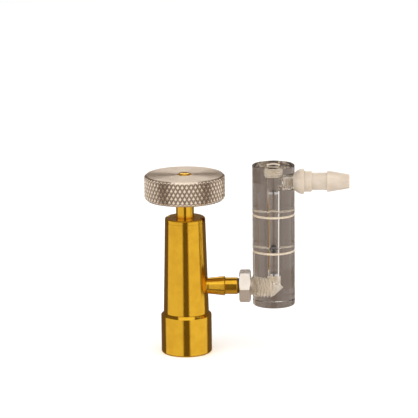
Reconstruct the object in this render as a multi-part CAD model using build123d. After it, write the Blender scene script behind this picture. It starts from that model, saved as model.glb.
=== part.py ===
from build123d import *
from math import ceil, floor
import os

# Miniature piston gas regulator with a side flow tube, in millimetres.
# Origin: centre of the inlet's mouth, in the plane of the collar's bottom face.
# +Z runs up the barrel to the adjusting knob, +X runs out to the flow tube and the hose barb.

# ---------------------------------------------------------------- driving dimensions
FIT_GAP = 0.06  # radial gap left between mated screw threads and other fixed fits
RUN_GAP = 0.05  # radial gap of the sliding pieces
TOUCH_GAP = 0.02  # gap between faces that touch but move apart

# inlet collar, cut from 3/4 inch brass bar
COLLAR_R = 9.525
COLLAR_EDGE_Z = 14.5
COLLAR_TOP_Z = 15.5
COLLAR_BOTTOM_CHAMFER = 0.5
INLET_THREAD_R = 15.875 / 2  # 5/8-18 UNF female
INLET_THREAD_PITCH = 25.4 / 18
INLET_CREST_R = 7.174
INLET_MOUTH_CHAMFER = 0.4
INLET_THREAD_TOP_Z = 7.8
INLET_RELIEF_R = 8.15
SHOULDER_Z = 9.6  # shoulder above the gasket, level with the end of the body's spigot
GASKET_T = 1.2
GASKET_R = 6.9
GASKET_HOLE_R = 3.4

# tapered body
BODY_BASE_R = 8.55
BODY_TOP_R = 7.55
BODY_TOP_Z = 52.0  # top of the bonnet, which carries on the body's taper
BONNET_SEAM_Z = 50.4
SPIGOT_R = 6.35  # 1/2-20 UNF
SPIGOT_PITCH = 1.27
SPIGOT_THREAD_DEPTH = 0.72
CYLINDER_R = 5.5  # piston bore
CYLINDER_FLOOR_Z = 24.4
BONNET_THREAD_FLOOR_Z = 43.2

# inlet valve inside the body, from the bottom up
FILTER_POCKET_R = 3.2
FILTER_POCKET_TOP_Z = 13.6
RETAINER_Z = 9.7
RETAINER_T = 1.0
RETAINER_HOLES = 4
FILTER_Z = 11.4
FILTER_T = 2.1
PIN_R = 0.75
PIN_TIP_Z = 8.0
CHAMBER_R = 2.6
CHAMBER_TOP_Z = 21.4
INSERT_R = 3.5
INSERT_FLANGE_R = 4.3
INSERT_PITCH = 1.0
INSERT_THREAD_DEPTH = 0.55
INSERT_TOP_Z = 25.2
ORIFICE_R = 0.8
LIP_R = 1.35
SEAT_Z = 20.6  # face on which the soft disc closes
SEAL_POCKET_R = 4.35
SEAL_POCKET_Z = 23.5
POPPET_R = 2.3
POPPET_PIN_R = 0.45
POPPET_PIN_TOP_Z = 27.9
POPPET_WIRE_R = 0.22

# piston, range spring and spring button
PISTON_Z = 28.2
PISTON_TOP_Z = 31.6
PISTON_GROOVE_Z = (29.7, 31.0)
PISTON_GROOVE_R = 4.45
PISTON_BOSS_R = 2.7
PISTON_BOSS_TOP_Z = 33.0
SPRING_R = 4.15
SPRING_WIRE_R = 0.55
SPRING_TURNS = 4.5
BUTTON_Z = 41.0
BUTTON_R = 4.9
THRUST_BALL_R = 1.19  # 3/32 inch
THRUST_BALL_Z = 43.0

# bonnet, adjusting stem and knob
BONNET_BOTTOM_Z = 43.8
BONNET_EDGE_CHAMFER = 0.4
SLOT_AZIMUTH = -10.0  # degrees from +X towards +Y, of the first of two opposite spanner slots
SLOT_W = 1.8
SLOT_DEPTH = 1.2
SLOT_INNER_R = 6.0
VENT_R = 0.4
VENT_DRILLING_R = 4.9
STEM_THREAD_R = 3.12  # 1/4-28
STEM_PITCH = 25.4 / 28
STEM_THREAD_DEPTH = 0.5
STEM_GAP = 0.08  # radial gap between the stem and the bonnet
BONNET_THREAD_R = 3.6  # root of the bonnet's thread, whose rings clear the stem's as it travels
STEM_R = 3.35
STEM_TIP_Z = 43.2
STEM_SHANK_Z = 50.3
STEM_SHOULDER_Z = 61.5
BONNET_THREAD_TOP_Z = 46.5
KNOB_R = 15.1
KNOB_Z = 59.0
KNOB_TOP_Z = 68.4
KNOB_TOP_CHAMFER = 0.8
KNOB_BOTTOM_CHAMFER = 0.9
RIVET_R = 2.5
RIVET_TOP_Z = 69.1

# outlet line, along +X at this height
PORT_Z = 25.5
PORT_START_X = 5.0  # clear of the seal pocket below the cylinder
STUB_THREAD_R = 2.2
STUB_THREAD_PITCH = 0.7
STUB_THREAD_DEPTH = 0.35
STUB_INNER_X = 5.75
SPOT_FACE_X = 7.5
SPOT_FACE_R = 3.15
STUB_SMALL_R = 3.03
STUB_LARGE_R = 3.68
STUB_FLARE_X = 14.7
STUB_END_X = 23.0
STUB_BORE_R = 1.2
SLEEVE_R = 3.175  # 1/4 inch
SLEEVE_X = (14.75, 19.6)
WASHER_R = 2.85
HEX_X = (20.2, 24.4)
HEX_FLATS = 11.1125  # 7/16 inch across flats
PIPE_THREAD_R = 3.97
PIPE_THREAD_PITCH = 25.4 / 27
PIPE_THREAD_DEPTH = 0.62
PIPE_TAPER = 1 / 32  # loss of radius per millimetre of length
PIPE_END_X = 32.7

# flow tube and its fittings
TUBE_X = 33.1
TUBE_R = 15.875 / 2  # 5/8 inch acrylic rod
TUBE_Z = (18.7, 72.0)
TUBE_EDGE_CHAMFER = 0.25
TUBE_BORE_BOTTOM_R = 1.66
TUBE_BORE_TOP_R = 1.9
TAPPED_HOLE_CONE = 2.4  # length of the tapped hole's drilled cone, which starts on the tube's axis
RING_DROPS = (18.6, 32.4)  # engraved rings, below the tube's top face
RING_W = 0.5
RING_DEPTH = 0.3
BALL_R = 3.175 / 2  # 1/8 inch
BALL_Z = 40.2
LOWER_STOP_Z = 30.1
UPPER_STOP_Z = 61.5
STOP_T = 0.9
STOP_HOLE_R = 0.9
PLUG_R = 2.4
PLUG_PITCH = 0.8
PLUG_THREAD_DEPTH = 0.4
PLUG_Z = (68.9, 71.7)
PLUG_SOCKET_FLATS = 2.0
PLUG_SEAL_Z = 68.4  # middle of the O-ring under the plug
PLUG_POCKET_Z = 67.8

# hose barb, along +X at this height
BARB_Z = 65.7
BARB_HOLE_X = 35.8
BARB_INNER_X = 35.95
BARB_THREAD_R = 3.175  # 1/4-28
BARB_PITCH = 25.4 / 28
BARB_THREAD_DEPTH = 0.45
BARB_SPOT_X = 40.5
BARB_SPOT_R = 3.7
BARB_FLANGE_X = (41.1, 41.9, 43.0, 44.55)
BARB_FLANGE_R = (3.4, 4.1, 4.6, 4.83)
BARB_COLLAR_X = 47.4
BARB_COLLAR_R = 3.885
BARB_SHANK_R = 3.25
BARB_CREST_X = (53.1, 53.7)
BARB_CREST_R = 3.92
BARB_TIP_X = 61.45
BARB_TIP_R = 2.335
BARB_BORE_R = 1.3


# ---------------------------------------------------------------- helpers
def lathe(outline):
    """Turn a closed outline of (radius, height) points about the Z axis."""
    edges = Polyline(*[(r, 0, z) for r, z in outline], close=True).edges()
    return revolve(make_face(edges), Axis.Z)


def along_x(piece, height):
    """Lay a piece built up +Z along +X, with its axis at the given height."""
    return Pos(0, 0, height) * Rot(0, 90, 0) * piece


def thread(major_r, depth, start, end, pitch, gap=0.0):
    """Points of a ring thread between two heights, as (radius, height).

    Crests stand at whole multiples of the pitch, so that a male thread and the female one
    cut with a gap are in step.
    """

    def radius(z):
        off_crest = abs((z / pitch + 0.5) % 1 - 0.5)  # 0 amid a crest, 0.5 amid a root
        return major_r + gap - depth * min(1, max(0, 4 * off_crest - 0.5))

    turns = range(floor(start / pitch), ceil(end / pitch) + 1)
    corners = [(turn + side) * pitch for turn in turns for side in (-3 / 8, -1 / 8, 1 / 8, 3 / 8)]
    inside = [z for z in corners if start + 0.01 < z < end - 0.01]
    return [(radius(z), z) for z in [start, *inside, end]]


def pipe_thread(start, end, gap=0.0):
    """Tapered pipe thread of the adapter, as (radius, distance along X)."""
    straight = thread(PIPE_THREAD_R, PIPE_THREAD_DEPTH, start, end, PIPE_THREAD_PITCH, gap)
    return [(r - PIPE_TAPER * (x - HEX_X[1]), x) for r, x in straight]


def barrel_thread(start, end, gap=0.0):
    """Thread of the body's spigot and of the bonnet."""
    return thread(SPIGOT_R, SPIGOT_THREAD_DEPTH, start, end, SPIGOT_PITCH, gap)


def disc(radius, bottom, top, hole=0.0):
    """Plain disc or ring between two heights."""
    return lathe([(hole, bottom), (radius, bottom), (radius, top), (hole, top)])


def o_ring(inside_r, outside_r, z):
    """Ring of round section that fills the space between two radii."""
    section_r = (outside_r - inside_r) / 2
    return Pos(0, 0, z) * Torus((inside_r + outside_r) / 2, section_r)


def coil_spring(mean_r, wire_r, bottom, top, turns):
    """Round-wire compression spring between two faces."""
    height = top - bottom - 2 * wire_r - 2 * TOUCH_GAP
    path = Helix(height / turns, height, mean_r, center=(0, 0, bottom + wire_r + TOUCH_GAP))
    wire = Plane(origin=path @ 0, z_dir=path % 0) * Circle(wire_r)
    return sweep(wire, path=path, is_frenet=True)


def hexagon(flats, bottom, top, turn=0.0):
    """Hexagonal prism about the Z axis, across its flats."""
    section = RegularPolygon(flats / 2, 6, major_radius=False, rotation=turn)
    return Pos(0, 0, bottom) * extrude(section, top - bottom)


def body_r(z):
    """Outside radius of the taper at a height."""
    return BODY_BASE_R + (BODY_TOP_R - BODY_BASE_R) * (z - COLLAR_TOP_Z) / (BODY_TOP_Z - COLLAR_TOP_Z)


# ---------------------------------------------------------------- inlet
def inlet_coupling():
    """Collar with the cylinder's thread below and the body's thread above."""
    inlet_thread = thread(
        INLET_THREAD_R,
        INLET_THREAD_R - INLET_CREST_R,
        INLET_MOUTH_CHAMFER,
        INLET_THREAD_TOP_Z,
        INLET_THREAD_PITCH,
    )
    spigot_thread = barrel_thread(SHOULDER_Z, COLLAR_TOP_Z - 1.1, FIT_GAP)
    return lathe(
        [
            (inlet_thread[0][0] + INLET_MOUTH_CHAMFER, 0),
            (COLLAR_R - COLLAR_BOTTOM_CHAMFER, 0),
            (COLLAR_R, COLLAR_BOTTOM_CHAMFER),
            (COLLAR_R, COLLAR_EDGE_Z),
            (BODY_BASE_R, COLLAR_TOP_Z),
            (SPIGOT_R + 0.75, COLLAR_TOP_Z),
            (SPIGOT_R + 0.1, COLLAR_TOP_Z - 1.1),
            *reversed(spigot_thread),
            (INLET_RELIEF_R, SHOULDER_Z),
            (INLET_RELIEF_R, INLET_THREAD_TOP_Z + 0.5),
            *reversed(inlet_thread),
        ]
    )


def inlet_gasket():
    """Flat ring under the shoulder, on which the cylinder's valve seals."""
    top = SHOULDER_Z - TOUCH_GAP
    return disc(GASKET_R, top - GASKET_T, top, GASKET_HOLE_R)


def coupling_seal():
    """O-ring at the root of the body's spigot, in the collar's countersink."""
    return o_ring(SPIGOT_R - 0.5, SPIGOT_R + 0.1, COLLAR_TOP_Z - 0.34)


def filter_retainer():
    """Drilled disc pressed into the spigot's mouth, with the pin's guide hole."""
    plate = disc(FILTER_POCKET_R - FIT_GAP, RETAINER_Z, RETAINER_Z + RETAINER_T, PIN_R + FIT_GAP)
    holes = PolarLocations(2.0, RETAINER_HOLES) * Cylinder(0.55, 4 * RETAINER_T)
    return plate - [Pos(0, 0, RETAINER_Z) * hole for hole in holes]


def depressor_pin():
    """Headed pin that opens the core of the cylinder's valve."""
    head_z = RETAINER_Z + RETAINER_T + TOUCH_GAP
    return lathe(
        [
            (0, PIN_TIP_Z),
            (PIN_R - 0.25, PIN_TIP_Z),
            (PIN_R, PIN_TIP_Z + 0.25),
            (PIN_R, head_z),
            (PIN_R + 0.6, head_z),
            (PIN_R + 0.6, FILTER_Z - TOUCH_GAP),
            (0, FILTER_Z - TOUCH_GAP),
        ]
    )


def inlet_filter():
    """Sintered disc across the inlet."""
    return disc(FILTER_POCKET_R - FIT_GAP, FILTER_Z, FILTER_Z + FILTER_T)


# ---------------------------------------------------------------- body and valve
def body():
    """Tapered barrel with its spigot, valve chamber, piston bore and side port."""
    spigot = barrel_thread(SHOULDER_Z, COLLAR_TOP_Z - 1.1)
    insert_thread = thread(
        INSERT_R, INSERT_THREAD_DEPTH, CHAMBER_TOP_Z, SEAL_POCKET_Z, INSERT_PITCH, FIT_GAP
    )
    bonnet_thread = barrel_thread(BONNET_THREAD_FLOOR_Z, BONNET_SEAM_Z - 0.6, FIT_GAP)
    barrel = lathe(
        [
            (FILTER_POCKET_R, SHOULDER_Z),
            *spigot,
            (SPIGOT_R - 0.6, COLLAR_TOP_Z - 1.1),
            (SPIGOT_R - 0.6, COLLAR_TOP_Z),
            (BODY_BASE_R, COLLAR_TOP_Z),
            (body_r(BONNET_SEAM_Z), BONNET_SEAM_Z),
            (SPIGOT_R + 0.5, BONNET_SEAM_Z),
            *reversed(bonnet_thread),
            (CYLINDER_R, BONNET_THREAD_FLOOR_Z),
            (CYLINDER_R, CYLINDER_FLOOR_Z),
            (SEAL_POCKET_R, CYLINDER_FLOOR_Z),
            (SEAL_POCKET_R, SEAL_POCKET_Z),
            *reversed(insert_thread),
            (CHAMBER_R, CHAMBER_TOP_Z),
            (CHAMBER_R, FILTER_POCKET_TOP_Z),
            (FILTER_POCKET_R, FILTER_POCKET_TOP_Z),
        ]
    )
    reach = 2 * BODY_BASE_R
    port = disc(STUB_THREAD_R + FIT_GAP, PORT_START_X, reach)
    spot_face = disc(SPOT_FACE_R, SPOT_FACE_X, reach)
    return barrel - along_x(port, PORT_Z) - along_x(spot_face, PORT_Z)


def seat_insert():
    """Screwed orifice with the raised lip on which the poppet closes."""
    screw = thread(
        INSERT_R, INSERT_THREAD_DEPTH, CHAMBER_TOP_Z + FIT_GAP, SEAL_POCKET_Z, INSERT_PITCH
    )
    return lathe(
        [
            (ORIFICE_R, SEAT_Z + TOUCH_GAP),
            (LIP_R, SEAT_Z + TOUCH_GAP),
            (LIP_R + 0.5, CHAMBER_TOP_Z - 0.1),
            (LIP_R + 0.5, CHAMBER_TOP_Z + FIT_GAP),
            *screw,
            (screw[-1][0], CYLINDER_FLOOR_Z + TOUCH_GAP),
            (INSERT_FLANGE_R + 0.25, CYLINDER_FLOOR_Z + TOUCH_GAP),
            (INSERT_FLANGE_R + 0.25, INSERT_TOP_Z - 0.2),
            (INSERT_FLANGE_R, INSERT_TOP_Z),
            (ORIFICE_R, INSERT_TOP_Z),
        ]
    )


def seat_insert_seal():
    """O-ring in the pocket under the insert's flange."""
    return o_ring(INSERT_R + 0.02, SEAL_POCKET_R - 0.02, CYLINDER_FLOOR_Z - 0.43)


def poppet():
    """Valve poppet: spring spigot, guide, recess for the soft disc, push pin."""
    return lathe(
        [
            (0, 15.2),
            (1.0, 15.2),
            (1.25, 15.5),
            (1.25, 17.6),
            (POPPET_R, 17.6),
            (POPPET_R, SEAT_Z - 0.3),
            (POPPET_R - 0.25, SEAT_Z - 0.05),
            (1.8, SEAT_Z - 0.05),
            (1.8, SEAT_Z - 0.9),
            (POPPET_PIN_R, SEAT_Z - 0.9),
            (POPPET_PIN_R, POPPET_PIN_TOP_Z - 0.15),
            (POPPET_PIN_R - 0.15, POPPET_PIN_TOP_Z),
            (0, POPPET_PIN_TOP_Z),
        ]
    )


def seat_disc():
    """Soft ring set in the poppet's face."""
    return disc(1.77, SEAT_Z - 0.88, SEAT_Z, POPPET_PIN_R + 0.03)


def poppet_spring():
    """Closing spring between the filter and the poppet."""
    return coil_spring(1.75, POPPET_WIRE_R, FILTER_POCKET_TOP_Z, 17.6, 5)


# ---------------------------------------------------------------- piston and range spring
def piston():
    """Sensing piston with its seal groove, push face and spring boss."""
    skirt_r = CYLINDER_R - RUN_GAP
    groove_bottom, groove_top = PISTON_GROOVE_Z
    push_z = POPPET_PIN_TOP_Z + TOUCH_GAP
    return lathe(
        [
            (0, push_z),
            (1.2, push_z),
            (1.2, PISTON_Z),
            (skirt_r - 0.3, PISTON_Z),
            (skirt_r, PISTON_Z + 0.3),
            (skirt_r, groove_bottom),
            (PISTON_GROOVE_R, groove_bottom),
            (PISTON_GROOVE_R, groove_top),
            (skirt_r, groove_top),
            (skirt_r, PISTON_TOP_Z),
            (PISTON_BOSS_R, PISTON_TOP_Z),
            (PISTON_BOSS_R, PISTON_BOSS_TOP_Z - 0.4),
            (PISTON_BOSS_R - 0.4, PISTON_BOSS_TOP_Z),
            (0, PISTON_BOSS_TOP_Z),
        ]
    )


def piston_seal():
    """O-ring in the piston's groove."""
    return o_ring(PISTON_GROOVE_R + 0.01, CYLINDER_R - 0.02, sum(PISTON_GROOVE_Z) / 2)


def range_spring():
    """Main spring between the piston and the button."""
    return coil_spring(SPRING_R, SPRING_WIRE_R, PISTON_TOP_Z, BUTTON_Z, SPRING_TURNS)


def spring_button():
    """Button that the stem pushes down on the range spring, with a cup for the ball."""
    turned = lathe(
        [
            (0, BUTTON_Z - 1.2),
            (2.4, BUTTON_Z - 1.2),
            (2.9, BUTTON_Z - 0.7),
            (2.9, BUTTON_Z),
            (BUTTON_R, BUTTON_Z),
            (BUTTON_R, BUTTON_Z + 1.0),
            (2.3, BUTTON_Z + 1.0),
            (2.1, BUTTON_Z + 1.8),
            (0, BUTTON_Z + 1.8),
        ]
    )
    return turned - Pos(0, 0, THRUST_BALL_Z) * Sphere(THRUST_BALL_R + TOUCH_GAP)


def thrust_ball():
    """Hardened ball between the stem's tip and the button."""
    return Pos(0, 0, THRUST_BALL_Z) * Sphere(THRUST_BALL_R)


# ---------------------------------------------------------------- bonnet, stem and knob
def bonnet():
    """Screwed cap of the barrel: threaded below for the stem, slotted for a spanner, and vented."""
    outside = barrel_thread(BONNET_BOTTOM_Z, BONNET_SEAM_Z - 0.6)
    inside = thread(
        BONNET_THREAD_R,
        BONNET_THREAD_R - STEM_THREAD_R - STEM_GAP,
        BONNET_BOTTOM_Z + 0.3,
        BONNET_THREAD_TOP_Z,
        STEM_PITCH,
    )
    cap = lathe(
        [
            (BONNET_THREAD_R, BONNET_BOTTOM_Z),
            *outside,
            (SPIGOT_R - 0.5, BONNET_SEAM_Z - 0.3),
            (SPIGOT_R - 0.5, BONNET_SEAM_Z + TOUCH_GAP),
            (body_r(BONNET_SEAM_Z), BONNET_SEAM_Z + TOUCH_GAP),
            (BODY_TOP_R, BODY_TOP_Z - BONNET_EDGE_CHAMFER),
            (BODY_TOP_R - BONNET_EDGE_CHAMFER, BODY_TOP_Z),
            (STEM_R + 0.45, BODY_TOP_Z),
            (STEM_R + STEM_GAP, BODY_TOP_Z - 0.4),
            (STEM_R + STEM_GAP, BONNET_THREAD_TOP_Z),
            *reversed(inside),
        ]
    )
    slot = Box(2 * BODY_BASE_R, SLOT_W, 2 * SLOT_DEPTH) - Box(2 * SLOT_INNER_R, SLOT_W, 2 * SLOT_DEPTH)
    slots = Pos(0, 0, BODY_TOP_Z) * Rot(0, 0, SLOT_AZIMUTH) * slot
    vent = Pos(0, VENT_DRILLING_R, 0) * disc(VENT_R, BONNET_BOTTOM_Z - 1, BODY_TOP_Z + 1)
    return cap - slots - vent


def adjusting_stem():
    """Adjusting screw: cupped tip, thread, plain shank, and the end riveted in the knob."""
    screw_thread = thread(
        STEM_THREAD_R, STEM_THREAD_DEPTH, STEM_TIP_Z + 0.6, STEM_SHANK_Z - 0.5, STEM_PITCH
    )
    screw = lathe(
        [
            (0, STEM_TIP_Z),
            (STEM_THREAD_R - STEM_THREAD_DEPTH, STEM_TIP_Z),
            *screw_thread,
            (STEM_R, STEM_SHANK_Z),
            (STEM_R, STEM_SHOULDER_Z),
            (RIVET_R, STEM_SHOULDER_Z),
            (RIVET_R, KNOB_TOP_Z + 0.1),
            (RIVET_R * 0.8, KNOB_TOP_Z + 0.48),
            (RIVET_R * 0.45, RIVET_TOP_Z - 0.06),
            (0, RIVET_TOP_Z),
        ]
    )
    return screw - Pos(0, 0, THRUST_BALL_Z) * Sphere(THRUST_BALL_R + TOUCH_GAP)


def knob():
    """Round knob with a chamfered rim, a stepped hole and a relieved underside."""
    return lathe(
        [
            (STEM_R + 0.03, KNOB_Z),
            (6.5, KNOB_Z),
            (7.0, KNOB_Z + 0.6),
            (KNOB_R - 3.2, KNOB_Z + 0.6),
            (KNOB_R - 2.6, KNOB_Z),
            (KNOB_R - KNOB_BOTTOM_CHAMFER, KNOB_Z),
            (KNOB_R, KNOB_Z + KNOB_BOTTOM_CHAMFER),
            (KNOB_R, KNOB_TOP_Z - KNOB_TOP_CHAMFER),
            (KNOB_R - KNOB_TOP_CHAMFER, KNOB_TOP_Z),
            (RIVET_R + 0.35, KNOB_TOP_Z),
            (RIVET_R + 0.03, KNOB_TOP_Z - 0.3),
            (RIVET_R + 0.03, STEM_SHOULDER_Z + TOUCH_GAP),
            (STEM_R + 0.03, STEM_SHOULDER_Z + TOUCH_GAP),
        ]
    )


# ---------------------------------------------------------------- outlet line
def outlet_stub():
    """Flared nipple, threaded at both ends; its bore takes the flow jet."""
    into_body = thread(
        STUB_THREAD_R, STUB_THREAD_DEPTH, STUB_INNER_X + 0.2, SPOT_FACE_X - 0.1, STUB_THREAD_PITCH
    )
    into_adapter = thread(
        STUB_THREAD_R, STUB_THREAD_DEPTH, STUB_FLARE_X, STUB_END_X - 0.2, STUB_THREAD_PITCH
    )
    nipple = lathe(
        [
            (STUB_BORE_R, STUB_INNER_X),
            (STUB_THREAD_R - STUB_THREAD_DEPTH, STUB_INNER_X),
            *into_body,
            (into_body[-1][0], SPOT_FACE_X + TOUCH_GAP),
            (STUB_SMALL_R, SPOT_FACE_X + TOUCH_GAP),
            (STUB_SMALL_R, SPOT_FACE_X + 1.2),
            (STUB_LARGE_R, STUB_FLARE_X - 0.15),
            (STUB_LARGE_R - 0.15, STUB_FLARE_X),
            *into_adapter,
            (STUB_THREAD_R - STUB_THREAD_DEPTH, STUB_END_X),
            (STUB_BORE_R, STUB_END_X),
        ]
    )
    return along_x(nipple, PORT_Z)


def flow_jet():
    """Drilled jet pressed in the nipple's inner end."""
    jet = disc(STUB_BORE_R - 0.02, STUB_INNER_X + 0.4, STUB_INNER_X + 2.4, 0.2)
    return along_x(jet, PORT_Z)


def lock_sleeve():
    """Lock sleeve on the nipple, with a rounded outer end."""
    start, end = SLEEVE_X
    hole_r = STUB_THREAD_R + FIT_GAP
    sleeve = lathe(
        [
            (hole_r, start),
            (SLEEVE_R - 0.1, start),
            (SLEEVE_R, start + 0.1),
            (SLEEVE_R, end - 0.6),
            (SLEEVE_R - 0.15, end - 0.25),
            (SLEEVE_R - 0.5, end),
            (hole_r, end),
        ]
    )
    return along_x(sleeve, PORT_Z)


def adapter_washer():
    """Dark sealing washer between the sleeve and the hexagon."""
    inner, outer = SLEEVE_X[1] + TOUCH_GAP, HEX_X[0] - TOUCH_GAP
    return along_x(disc(WASHER_R, inner, outer, STUB_THREAD_R + FIT_GAP), PORT_Z)


def hex_adapter():
    """Hexagon with chamfered corners and a tapered pipe thread into the flow tube."""
    start, end = HEX_X
    corner_r = HEX_FLATS / 3**0.5
    blank = hexagon(HEX_FLATS, start, end, turn=30)
    turned = lathe(
        [
            (0, start),
            (corner_r - 0.75, start),
            (corner_r, start + 0.45),
            (corner_r, end - 0.45),
            (corner_r - 0.75, end),
            (0, end),
        ]
    )
    nose = pipe_thread(end + 0.5, PIPE_END_X - 0.3)
    neck = lathe(
        [
            (0, end - 1),
            (PIPE_THREAD_R - 0.6, end - 1),
            (PIPE_THREAD_R - 0.6, end + 0.5),
            *nose,
            (PIPE_THREAD_R - PIPE_THREAD_DEPTH - 0.4, PIPE_END_X),
            (0, PIPE_END_X),
        ]
    )
    socket = disc(STUB_THREAD_R + FIT_GAP, start - 1, STUB_END_X + 0.2)
    passage = disc(STUB_BORE_R, start, PIPE_END_X + 1)
    return along_x((blank & turned) + neck - socket - passage, PORT_Z)


# ---------------------------------------------------------------- flow tube
def flow_tube():
    """Clear rod with a tapered bore, two engraved rings and its tapped holes."""
    bottom, top = TUBE_Z
    outline = [
        (0, bottom),
        (TUBE_R - TUBE_EDGE_CHAMFER, bottom),
        (TUBE_R, bottom + TUBE_EDGE_CHAMFER),
    ]
    for drop in reversed(RING_DROPS):
        ring_z = top - drop
        outline += [
            (TUBE_R, ring_z - RING_W / 2),
            (TUBE_R - RING_DEPTH, ring_z),
            (TUBE_R, ring_z + RING_W / 2),
        ]
    outline += [
        (TUBE_R, top - TUBE_EDGE_CHAMFER),
        (TUBE_R - TUBE_EDGE_CHAMFER, top),
        (0, top),
    ]
    plug_thread = thread(
        PLUG_R, PLUG_THREAD_DEPTH, PLUG_POCKET_Z, top - 0.3, PLUG_PITCH, FIT_GAP
    )
    bore = lathe(
        [
            (0, PORT_Z),
            (TUBE_BORE_BOTTOM_R, PORT_Z),
            (TUBE_BORE_BOTTOM_R, LOWER_STOP_Z),
            (TUBE_BORE_TOP_R, UPPER_STOP_Z + STOP_T),
            (TUBE_BORE_TOP_R, PLUG_POCKET_Z),
            *plug_thread,
            (PLUG_R + 0.3, top + 0.1),
            (0, top + 0.1),
        ]
    )
    rod = Pos(TUBE_X, 0, 0) * (lathe(outline) - bore)

    port = pipe_thread(TUBE_X - TUBE_R - 1, TUBE_X, FIT_GAP)
    inlet = lathe([(0, port[0][1]), *port, (0, TUBE_X + TAPPED_HOLE_CONE)])
    barb_thread = thread(
        BARB_THREAD_R, BARB_THREAD_DEPTH, BARB_HOLE_X, BARB_SPOT_X - 0.2, BARB_PITCH, FIT_GAP
    )
    outlet = lathe(
        [
            (0, TUBE_X),
            (TUBE_BORE_BOTTOM_R, TUBE_X),
            (TUBE_BORE_BOTTOM_R, BARB_HOLE_X),
            *barb_thread,
            (BARB_THREAD_R + FIT_GAP, BARB_SPOT_X),
            (BARB_SPOT_R, BARB_SPOT_X),
            (BARB_SPOT_R, TUBE_X + 2 * TUBE_R),
            (0, TUBE_X + 2 * TUBE_R),
        ]
    )
    return rod - along_x(inlet, PORT_Z) - along_x(outlet, BARB_Z)


def ball_stop(z, bore_r):
    """Ring that keeps the ball in the bore."""
    return Pos(TUBE_X, 0, 0) * disc(bore_r, z, z + STOP_T, STOP_HOLE_R)


def lower_ball_stop():
    """Ring that the ball sits on with no flow."""
    return ball_stop(LOWER_STOP_Z, TUBE_BORE_BOTTOM_R - 0.01)


def upper_ball_stop():
    """Ring below the outlet hole."""
    return ball_stop(UPPER_STOP_Z, TUBE_BORE_TOP_R - 0.02)


def float_ball():
    """Steel ball that the gas lifts in the tapered bore."""
    return Pos(TUBE_X, 0, BALL_Z) * Sphere(BALL_R)


def top_plug():
    """Socket set screw that closes the bore."""
    bottom, top = PLUG_Z
    screw = lathe(
        [
            (0, bottom),
            (PLUG_R - 0.7, bottom),
            *thread(PLUG_R, PLUG_THREAD_DEPTH, bottom + 0.4, top - 0.2, PLUG_PITCH),
            (PLUG_R - PLUG_THREAD_DEPTH, top),
            (0, top),
        ]
    )
    socket = hexagon(PLUG_SOCKET_FLATS, top - 1.6, top + 1)
    return Pos(TUBE_X, 0, 0) * (screw - socket)


def top_plug_seal():
    """O-ring between the plug and the bore's mouth."""
    return Pos(TUBE_X, 0, 0) * o_ring(1.0, PLUG_R - 0.45, PLUG_SEAL_Z)


def hose_barb():
    """Hose barb with a threaded inner end and a rounded flange that seats in the spot face."""
    crest_start, crest_end = BARB_CREST_X
    root_r = BARB_THREAD_R - BARB_THREAD_DEPTH
    barb = lathe(
        [
            (BARB_BORE_R, BARB_INNER_X),
            (root_r, BARB_INNER_X),
            *thread(
                BARB_THREAD_R, BARB_THREAD_DEPTH, BARB_INNER_X + 0.3, BARB_SPOT_X - 0.2, BARB_PITCH
            ),
            (root_r, BARB_SPOT_X + TOUCH_GAP),
            (BARB_FLANGE_R[0], BARB_SPOT_X + TOUCH_GAP),
            *zip(BARB_FLANGE_R, BARB_FLANGE_X),
            (BARB_COLLAR_R, BARB_FLANGE_X[-1]),
            (BARB_COLLAR_R, BARB_COLLAR_X),
            (BARB_SHANK_R, BARB_COLLAR_X),
            (BARB_SHANK_R, crest_start),
            (BARB_CREST_R, crest_start),
            (BARB_CREST_R, crest_end),
            (BARB_TIP_R + 0.3, BARB_TIP_X - 0.2),
            (BARB_TIP_R, BARB_TIP_X),
            (BARB_BORE_R + 0.2, BARB_TIP_X),
            (BARB_BORE_R, BARB_TIP_X - 0.2),
        ]
    )
    return along_x(barb, BARB_Z)


# ---------------------------------------------------------------- files
PIECES = [
    inlet_coupling,
    inlet_gasket,
    coupling_seal,
    filter_retainer,
    depressor_pin,
    inlet_filter,
    body,
    seat_insert,
    seat_insert_seal,
    poppet,
    seat_disc,
    poppet_spring,
    piston,
    piston_seal,
    range_spring,
    spring_button,
    thrust_ball,
    bonnet,
    adjusting_stem,
    knob,
    outlet_stub,
    flow_jet,
    lock_sleeve,
    adapter_washer,
    hex_adapter,
    flow_tube,
    lower_ball_stop,
    upper_ball_stop,
    float_ball,
    top_plug,
    top_plug_seal,
    hose_barb,
]

os.makedirs("parts", exist_ok=True)
for piece in PIECES:
    solids = piece().solids()
    assert len(solids) == 1, f"{piece.__name__} has {len(solids)} solids"
    export_step(solids[0], f"parts/{piece.__name__}.step")
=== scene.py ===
from math import ceil, cos, hypot, pi, radians, sin, tan

import bmesh
import bpy
from mathutils import Matrix, Vector


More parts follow.
